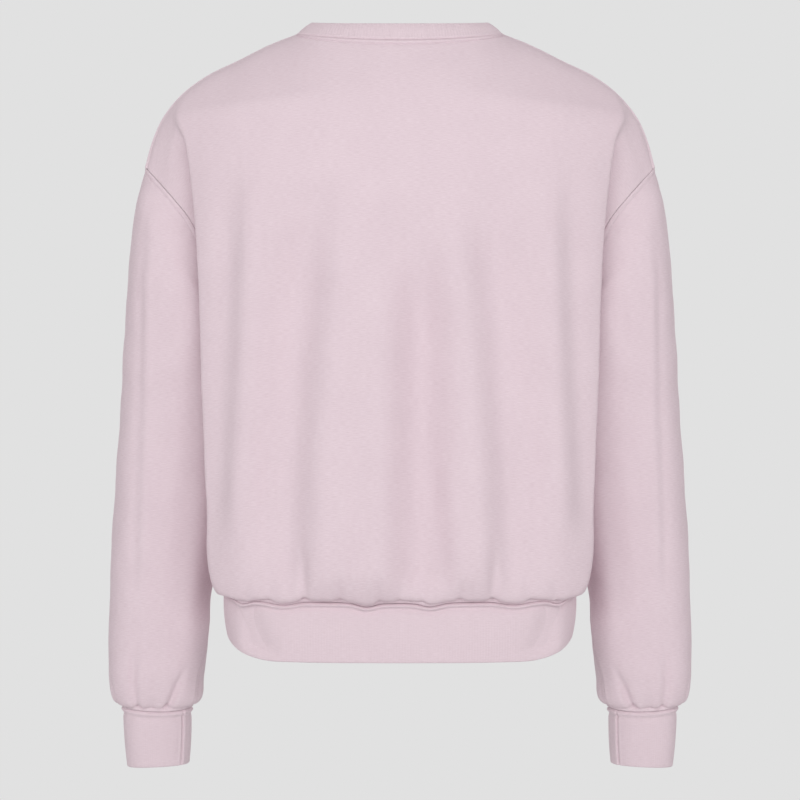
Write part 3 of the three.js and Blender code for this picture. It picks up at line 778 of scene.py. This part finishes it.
# Soft creases in the hem band: their place across at its top and at its foot
HEM_BAND_CREASES = table(("top", "foot", "depth", "spread", "front"), [
    (161, 138, 5.4, 17, False),
    (-160, -137, 5.2, 17, False),
    (40, 36, 1.6, 12, False),
    (-34, -37, 1.5, 13, False),
    (150, 120, 3.0, 12, True),
    (-148, -122, 3.2, 12, True),
    (20, 28, 1.4, 13, True),
])


def hem_band_sink(x, y, place):
    """How deep the hem band's creases are."""
    total = np.zeros_like(x)
    for crease in HEM_BAND_CREASES:
        at = crease["foot"] + (crease["top"] - crease["foot"]) * place
        facing = smooth(-y / FACING_FADE) if crease["front"] else smooth(y / FACING_FADE)
        fade = smooth(place * HEM_SINK_EASE["foot"]) * smooth((1 - place) * HEM_SINK_EASE["top"])
        total += crease["depth"] * np.exp(-((x - at) / crease["spread"]) ** 2) * facing * fade
    return total


def no_sink(x, y, place):
    """For the neckband, which has no creases or seams of its own."""
    return np.zeros_like(x)


# The seam of each cuff: where it lies across at the cuff's top and foot, on the side that faces back, and
# its groove with the rolls beside it, as depths
CUFF_SEAM = {"top": 226.0, "foot": 228.0, "behind": -50}
CUFF_GROOVE = {"at": 0, "width": 0.7, "height": 1.6}
CUFF_ROLL = {"at": 2.0, "width": 1.2, "height": -0.5}


def cuff_sink(x, y, place):
    """How deep the seam of a cuff is."""
    at = CUFF_SEAM["foot"] + (CUFF_SEAM["top"] - CUFF_SEAM["foot"]) * place
    away = np.abs(np.abs(x) - at)
    return (hump(away, **CUFF_GROOVE) + hump(away, **CUFF_ROLL)) * (y > CUFF_SEAM["behind"])


def dense_loop(points, count):
    """count points at even distances round a loop."""
    return resampled(np.concatenate([points, points[:1]]), count)


def neck_loops(back, front):
    """The neckband's foot and head loops, from the panels' neckline edges."""
    trim = shoulder_columns()
    seam = np.concatenate([back[-1, trim:-trim], front[-1, trim + 1:-trim - 1]])
    base = dense_loop(seam, NECK_COLUMNS)
    sideways = np.minimum(1, np.abs(base[:, 0]) / NECK_HALF_WIDTH) ** 2
    inward = np.stack([
        -base[:, 0] / NECK_HALF_WIDTH ** 2,
        -base[:, 1] / BACK_NECK["depth"] ** 2,
        np.zeros(len(base)),
    ], axis=-1)
    inward /= np.linalg.norm(inward, axis=-1, keepdims=True)
    at_back = base[:, 1] > 0
    rise = np.where(at_back, BAND_AT_BACK["rise"], BAND_AT_FRONT["rise"])
    lean = np.where(at_back, BAND_AT_BACK["lean"], BAND_AT_FRONT["lean"])
    rise = rise + (BAND_AT_SIDE["rise"] - rise) * sideways
    lean = lean + (BAND_AT_SIDE["lean"] - lean) * sideways
    direction = inward * lean[:, None]
    direction[:, 2] = rise
    apart = direction / np.linalg.norm(direction, axis=-1, keepdims=True) * NECK_GAP
    return base + apart, base + direction


# How matte every cloth is, and its faint bloom
CLOTH_SHADING = {
    "Roughness": 0.92,
    "Specular IOR Level": 0.18,
    "Sheen Weight": 0.06,
    "Sheen Roughness": 0.55,
    "Sheen Tint": (1.0, 0.93, 0.95, 1),
}
THREAD_ROUGHNESS = 0.7

# Textures over the flat cloth, in metres: stretched across and along it, then scaled
SLUBS = {"across": 150, "along": 1500, "scale": 1.0, "detail": 4, "roughness": 0.62}
NAP = {"across": 1, "along": 1, "scale": 900, "detail": 3, "roughness": 0.65}
MOTTLE = {"across": 1, "along": 1, "scale": 22, "detail": 3, "roughness": 0.5}
WALES = {"across": 900, "along": 40, "scale": 1.0, "detail": 2, "roughness": 0.5}
FIBRES = {"across": 1, "along": 1, "scale": 2400, "detail": 2, "roughness": 0.5}

# Plain colour of each cloth, under its textures
FLEECE_COLOUR = (0.7, 0.58, 0.63)
RIB_COLOUR = (0.69, 0.57, 0.62)
THREAD_COLOUR = (0.72, 0.59, 0.64)
# Colours that each texture runs between, from its low values to its high ones
FLEECE_HEATHER = ((0.690, 0.552, 0.600), (0.785, 0.656, 0.706))
FLEECE_MOTTLE = ((0.975, 0.97, 0.973), (1.0, 1.0, 1.0))
RIB_HEATHER = ((0.700, 0.566, 0.612), (0.765, 0.635, 0.685))
RIB_STREAKS = ((0.985, 0.983, 0.984), (1.0, 1.0, 1.0))
THREAD_FIBRES = ((0.70, 0.57, 0.62), (0.75, 0.62, 0.67))
RAMP_START = 0.3
RAMP_END = 0.7

# Strengths of each texture's bumps, and their height in metres
BUMP_HEIGHT = 0.0003
FLEECE_BUMPS = {"slubs": 0.25, "nap": 0.22}
RIB_BUMPS = {"wales": 0.12, "slubs": 0.2, "nap": 0.22}


def principled(name, colour, make):
    """A cloth material whose colour and relief are made by make(nodes, links, shader)."""
    material = bpy.data.materials.new(name)
    material.use_nodes = True
    nodes, links = material.node_tree.nodes, material.node_tree.links
    shader = nodes["Principled BSDF"]
    shader.inputs["Base Color"].default_value = (*colour, 1)
    for key, value in CLOTH_SHADING.items():
        shader.inputs[key].default_value = value
    make(nodes, links, shader)
    return material


def texture(nodes, links, kind):
    """Noise over the UV coordinates, which are metres of flat cloth."""
    coordinates = nodes.new("ShaderNodeTexCoord")
    mapping = nodes.new("ShaderNodeMapping")
    mapping.inputs["Scale"].default_value = (kind["across"], kind["along"], 1)
    links.new(coordinates.outputs["UV"], mapping.inputs["Vector"])
    made = nodes.new("ShaderNodeTexNoise")
    made.inputs["Scale"].default_value = kind["scale"]
    made.inputs["Detail"].default_value = kind["detail"]
    made.inputs["Roughness"].default_value = kind["roughness"]
    links.new(mapping.outputs["Vector"], made.inputs["Vector"])
    return made.outputs["Fac"]


def coloured(nodes, links, factor, colours):
    """A texture's values turned into colours between the two given."""
    ramp = nodes.new("ShaderNodeValToRGB")
    first, second = colours
    ramp.color_ramp.elements[0].position = RAMP_START
    ramp.color_ramp.elements[0].color = (*first, 1)
    ramp.color_ramp.elements[1].position = RAMP_END
    ramp.color_ramp.elements[1].color = (*second, 1)
    links.new(factor, ramp.inputs["Fac"])
    return ramp.outputs["Color"]


def multiplied(nodes, links, first, second):
    """One colour multiplied by another."""
    mix = nodes.new("ShaderNodeMix")
    mix.data_type = "RGBA"
    mix.blend_type = "MULTIPLY"
    mix.inputs["Factor"].default_value = 1.0
    links.new(first, mix.inputs["A"])
    links.new(second, mix.inputs["B"])
    return mix.outputs["Result"]


def relief(nodes, links, shader, bumps):
    """Stacks bumps, each a texture and its strength, into the shader's normal."""
    normal = None
    for height, strength in bumps:
        bump = nodes.new("ShaderNodeBump")
        bump.inputs["Strength"].default_value = strength
        bump.inputs["Distance"].default_value = BUMP_HEIGHT
        links.new(height, bump.inputs["Height"])
        if normal:
            links.new(normal, bump.inputs["Normal"])
        normal = bump.outputs["Normal"]
    links.new(normal, shader.inputs["Normal"])


def make_fleece(nodes, links, shader):
    """Plain jersey with short slubs along its courses, and a soft nap."""
    slubs = texture(nodes, links, SLUBS)
    nap = texture(nodes, links, NAP)
    mottle = texture(nodes, links, MOTTLE)
    heather = coloured(nodes, links, slubs, FLEECE_HEATHER)
    cloudy = coloured(nodes, links, mottle, FLEECE_MOTTLE)
    links.new(multiplied(nodes, links, heather, cloudy), shader.inputs["Base Color"])
    relief(nodes, links, shader, [(slubs, FLEECE_BUMPS["slubs"]), (nap, FLEECE_BUMPS["nap"])])


def make_rib(nodes, links, shader):
    """Fine rib: faint upright wales over the same slubs and nap as the fleece has."""
    slubs = texture(nodes, links, SLUBS)
    wales = texture(nodes, links, WALES)
    nap = texture(nodes, links, NAP)
    heather = coloured(nodes, links, slubs, RIB_HEATHER)
    streaks = coloured(nodes, links, wales, RIB_STREAKS)
    links.new(multiplied(nodes, links, heather, streaks), shader.inputs["Base Color"])
    bumps = [(wales, RIB_BUMPS["wales"]), (slubs, RIB_BUMPS["slubs"]), (nap, RIB_BUMPS["nap"])]
    relief(nodes, links, shader, bumps)


def make_thread(nodes, links, shader):
    """Spun thread, a little smoother than the cloth."""
    shader.inputs["Roughness"].default_value = THREAD_ROUGHNESS
    fibres = texture(nodes, links, FIBRES)
    links.new(coloured(nodes, links, fibres, THREAD_FIBRES), shader.inputs["Base Color"])


FLEECE_LOOK = principled("brushed_fleece", FLEECE_COLOUR, make_fleece)
RIB_LOOK = principled("fine_rib", RIB_COLOUR, make_rib)
THREAD_LOOK = principled("sewing_thread", THREAD_COLOUR, make_thread)


def placed(piece, slot, look, *nodes):
    """Gives a piece its look, hangs it from the root and hides the part's nodes that it stands for. slot is
    not used.
    """
    piece.data.materials.append(look)
    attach(piece, "root")
    if nodes:
        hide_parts(*nodes)
    return piece


# Threads of the cover seams, and how far each one's middle stands out of the cloth
THREAD = {"pitch": 3.0, "length": 2.3, "width": 0.7, "height": 0.35, "raised": 0.1}
# A short step along a line that gives its direction
STEP_AHEAD = 0.5
# The row that lies on the stitch line, counted from the border, and the rows that reach well past it
STITCH_ROW = round(STITCH_LINE / SEAM_SPACING)
BORDER_ROWS = 24
# A grain has four corners round it, one above it and one below it
GRAIN_CORNERS = 6
GRAIN_FACES = [
    (0, 3, 4), (3, 2, 4), (2, 1, 4), (1, 0, 4), (3, 0, 5), (2, 3, 5), (1, 2, 5), (0, 1, 5),
]


def line_by_border(grid, distance, at_end):
    """Points at a distance from the first or the last row of a grid, one for each column."""
    near = (grid[::-1] if at_end else grid)[:BORDER_ROWS]
    lengths = lengths_along(near)
    columns = range(grid.shape[1])
    return np.array([at_lengths(distance, lengths[:, column], near[:, column]) for column in columns])


def stitches(name, lines):
    """Rows of short threads, each a long grain, along lines given as points with their normals."""
    points, faces = [], []
    for line, normals in lines:
        lengths = lengths_along(line)
        at = np.arange(THREAD["pitch"], lengths[-1] - THREAD["pitch"], THREAD["pitch"])
        middle = at_lengths(at, lengths, line)
        ahead = at_lengths(at + STEP_AHEAD, lengths, line)
        up = at_lengths(at, lengths, normals)
        along = (ahead - middle) / np.linalg.norm(ahead - middle, axis=-1, keepdims=True)
        aside = np.cross(up, along)
        middle = middle + up * THREAD["raised"]
        corners = np.stack([
            middle - along * THREAD["length"] / 2,
            middle + aside * THREAD["width"] / 2,
            middle + along * THREAD["length"] / 2,
            middle - aside * THREAD["width"] / 2,
            middle + up * THREAD["height"],
            middle - up * THREAD["height"],
        ], axis=1)
        made = sum(len(part) for part in points)
        first = GRAIN_CORNERS * (made + np.arange(len(at)))[:, None, None]
        points.append(corners)
        faces.append(first + np.array(GRAIN_FACES))
    points = np.concatenate(points).reshape(-1, 3)
    faces = np.concatenate(faces).reshape(-1, 3)
    return placed(build_mesh(name, points, faces, points[:, :2]), "fleece", THREAD_LOOK)


def panel_threads(panels):
    """The threads of the cover seams at the neckline and the hem, on both panels."""
    at_neck = []
    at_hem = []
    for grid, normals in panels:
        neck = slice(shoulder_columns(), grid.shape[1] - shoulder_columns())
        at_neck.append((line_by_border(grid, STITCH_LINE, True)[neck], normals[-1 - STITCH_ROW][neck]))
        at_hem.append((line_by_border(grid, STITCH_LINE, False), normals[STITCH_ROW]))
    stitches("neck_stitches", at_neck)
    stitches("hem_stitches", at_hem)


def armhole_loop(plain_back, plain_front, back_places, front_places):
    """The left armhole seam, from the underarm up the back and down the front."""
    underarm_back = int(np.argmin(np.abs(back_places - UNDERARM)))
    underarm_front = int(np.argmin(np.abs(front_places - UNDERARM)))
    up_back = plain_back[underarm_back:, 0]
    down_front = plain_front[underarm_front:, -1][::-1]
    return np.concatenate([resampled(up_back, HALF_SLEEVE), resampled(down_front, HALF_SLEEVE)])


def make_sleeves(loop):
    """Both sleeves' outer surfaces with their normals and flat coordinates, the right one mirrored."""
    turn = np.arange(HALF_SLEEVE) / HALF_SLEEVE
    angles = np.concatenate([math.pi * (1 - turn), -math.pi * turn])
    left, uv = sleeve_grid(loop, angles)
    right = mirrored(left)[:, ::-1]
    return (left, normals_of(left, True), uv), (right, normals_of(right, True), uv[:, ::-1])


def make_hem_band(plain_back, plain_front):
    seam = np.concatenate([plain_back[0], plain_front[0, 1:-1]])
    seam[:, 2] -= hem_wave(seam[:, 0], seam[:, 1]) + SEAM_GAP
    top = dense_loop(seam, HEM_COLUMNS)
    bottom = top.copy()
    out = np.clip((np.abs(bottom[:, 0]) - HEM_FLAT_HALF) / (HEM_HALF_WIDTH - HEM_FLAT_HALF), 0, 1)
    bottom[:, 0] *= 1 - HEM_TAPER * out ** 3
    rise = HEM_SIDE_RISE["soft"] * out ** 2 + HEM_SIDE_RISE["sharp"] * out ** 6
    bottom[:, 2] = HEM_LINE - HEM_HEIGHT + rise
    return folded_band("hem_rib", bottom, top, HEM_BAND, hem_band_sink)


def make_cuffs():
    angles = np.linspace(math.pi, -math.pi, CUFF_COLUMNS + 1)[:-1]
    seam = tube_point(SLEEVE_SECTIONS[-1], angles)
    foot = tube_point(CUFF_FOOT, angles)
    seam[:, 2] -= SEAM_GAP + cuff_sag(angles)
    left = folded_band("left_cuff", foot[::-1], seam[::-1], CUFF_BAND, cuff_sink)
    right = folded_band("right_cuff", mirrored(foot), mirrored(seam), CUFF_BAND, cuff_sink)
    return left, right


def make_garment():
    """Both panels and sleeves, the threads of their cover seams, and then the bands of rib."""
    back_half, back_places = half_panel(BACK_SECTIONS, FRONT_SECTIONS, BACK_NECK)
    front_half, front_places = half_panel(FRONT_SECTIONS, BACK_SECTIONS, FRONT_NECK)
    back_half, front_half = eased_by_neck(back_half), eased_by_neck(front_half)
    plain_back, plain_front = whole_panel(back_half, 1), whole_panel(front_half, -1)
    back = finished_panel(back_half, 1, BACK_FOLDS, HEM_CREASES, BACK_SEED)
    front = finished_panel(front_half, -1, FRONT_FOLDS, FRONT_CREASES, FRONT_SEED)
    left, right = make_sleeves(armhole_loop(plain_back, plain_front, back_places, front_places))
    walls = [
        (shell("back_panel", *back, False), "back", BACK_CUT),
        (shell("front_panel", *front, False), "front", FRONT_CUT),
        (shell("left_sleeve", *left, True), "sleeve_left", SLEEVE_CUT),
        (shell("right_sleeve", *right, True), "sleeve_right", SLEEVE_CUT),
    ]
    for piece, cad_node, cut in walls:
        placed(piece, "fleece", FLEECE_LOOK, cad_node)

    panel_threads([back[:2], front[:2]])
    for name, (grid, normals, _) in (("left_armhole_stitches", left), ("right_armhole_stitches", right)):
        stitches(name, [(line_by_border(grid, STITCH_LINE, False), normals[STITCH_ROW])])

    hem = make_hem_band(plain_back, plain_front)
    left_cuff, right_cuff = make_cuffs()
    neck = folded_band("neck_rib", *neck_loops(plain_back, plain_front), NECK_BAND, no_sink)
    bands = [
        (hem, "hem_band", HEM_CUT),
        (left_cuff, "cuff_left", CUFF_CUT),
        (right_cuff, "cuff_right", CUFF_CUT),
        (neck, "neckband", NECK_CUT),
    ]
    for piece, cad_node, cut in bands:
        placed(piece, "rib", RIB_LOOK, cad_node)


# Where the ground is under the wearer, and its colour
FLOOR_LEVEL = -1.42
FLOOR_RADIUS = 3.4
FLOOR_CORNERS = 96
FLOOR_COLOUR = (0.75, 0.75, 0.75, 1)
FLOOR_ROUGHNESS = 0.9
# The air's colour, and how brightly it lights the garment against how brightly it is seen
AIR_COLOUR = (0.753, 0.753, 0.753, 1)
AIR_GLOW = 0.46
AIR_SEEN = 1.0


def make_room():
    """A plain pale floor under the garment as it is worn, and pale air for a backdrop."""
    bpy.ops.mesh.primitive_circle_add(vertices=FLOOR_CORNERS, radius=FLOOR_RADIUS, fill_type="NGON")
    floor = bpy.context.object
    floor.name = "floor"
    floor.location = (0, 0, FLOOR_LEVEL)
    material = bpy.data.materials.new("floor_paint")
    material.use_nodes = True
    shader = material.node_tree.nodes["Principled BSDF"]
    shader.inputs["Base Color"].default_value = FLOOR_COLOUR
    shader.inputs["Roughness"].default_value = FLOOR_ROUGHNESS
    floor.data.materials.append(material)
    world = bpy.data.worlds.new("studio_air")
    world.use_nodes = True
    nodes, links = world.node_tree.nodes, world.node_tree.links
    air = nodes["Background"]
    air.inputs["Color"].default_value = AIR_COLOUR
    seen = nodes.new("ShaderNodeLightPath")
    brightness = nodes.new("ShaderNodeMapRange")
    brightness.inputs["To Min"].default_value = AIR_GLOW
    brightness.inputs["To Max"].default_value = AIR_SEEN
    links.new(seen.outputs["Is Camera Ray"], brightness.inputs["Value"])
    links.new(brightness.outputs["Result"], air.inputs["Strength"])
    bpy.context.scene.world = world
    bpy.context.scene.view_settings.view_transform = "Standard"


# Soft boxes, in metres and watts, aimed near the garment's middle
MIDDLE = (0, 0, -0.35)
LIGHTS = [
    {"name": "back_softbox", "place": (0, 2.6, 0.2), "aim": MIDDLE, "size": (4.4, 1.2), "power": 53},
    {"name": "front_softbox", "place": (0, -2.6, 0.3), "aim": MIDDLE, "size": (4.4, 1.2), "power": 48},
    {"name": "side_softbox", "place": (2.8, 0.5, 0.2), "aim": MIDDLE, "size": (1.2, 1.8), "power": 9},
    {"name": "side_softbox", "place": (-2.8, 0.5, 0.2), "aim": MIDDLE, "size": (1.2, 1.8), "power": 9},
    {"name": "top_softbox", "place": (0, 0.7, 2.0), "aim": (0, 0, -0.2), "size": (1.4, 1.4), "power": 7},
]


def make_lights():
    for lit in LIGHTS:
        light = bpy.data.lights.new(lit["name"], "AREA")
        light.shape = "RECTANGLE"
        light.size, light.size_y = lit["size"]
        light.energy = lit["power"]
        lamp = bpy.data.objects.new(lit["name"], light)
        lamp.location = lit["place"]
        towards = Vector(lit["aim"]) - Vector(lit["place"])
        lamp.rotation_euler = towards.to_track_quat("-Z", "Y").to_euler()
        bpy.context.scene.collection.objects.link(lamp)


# The camera stands level, square to the garment's back, at the height of the picture's middle
CAMERA_DISTANCE = 2.8
CAMERA_HEIGHT = -0.375
PICTURE_WIDTH = 0.824
SENSOR = 36.0


def make_camera():
    data = bpy.data.cameras.new("camera")
    data.sensor_width = SENSOR
    data.lens = SENSOR * CAMERA_DISTANCE / PICTURE_WIDTH
    camera = bpy.data.objects.new("camera", data)
    camera.location = (0, CAMERA_DISTANCE, CAMERA_HEIGHT)
    camera.rotation_euler = (math.pi / 2, 0, math.pi)
    bpy.context.scene.collection.objects.link(camera)
    bpy.context.scene.camera = camera


make_camera()
make_garment()
make_room()
make_lights()
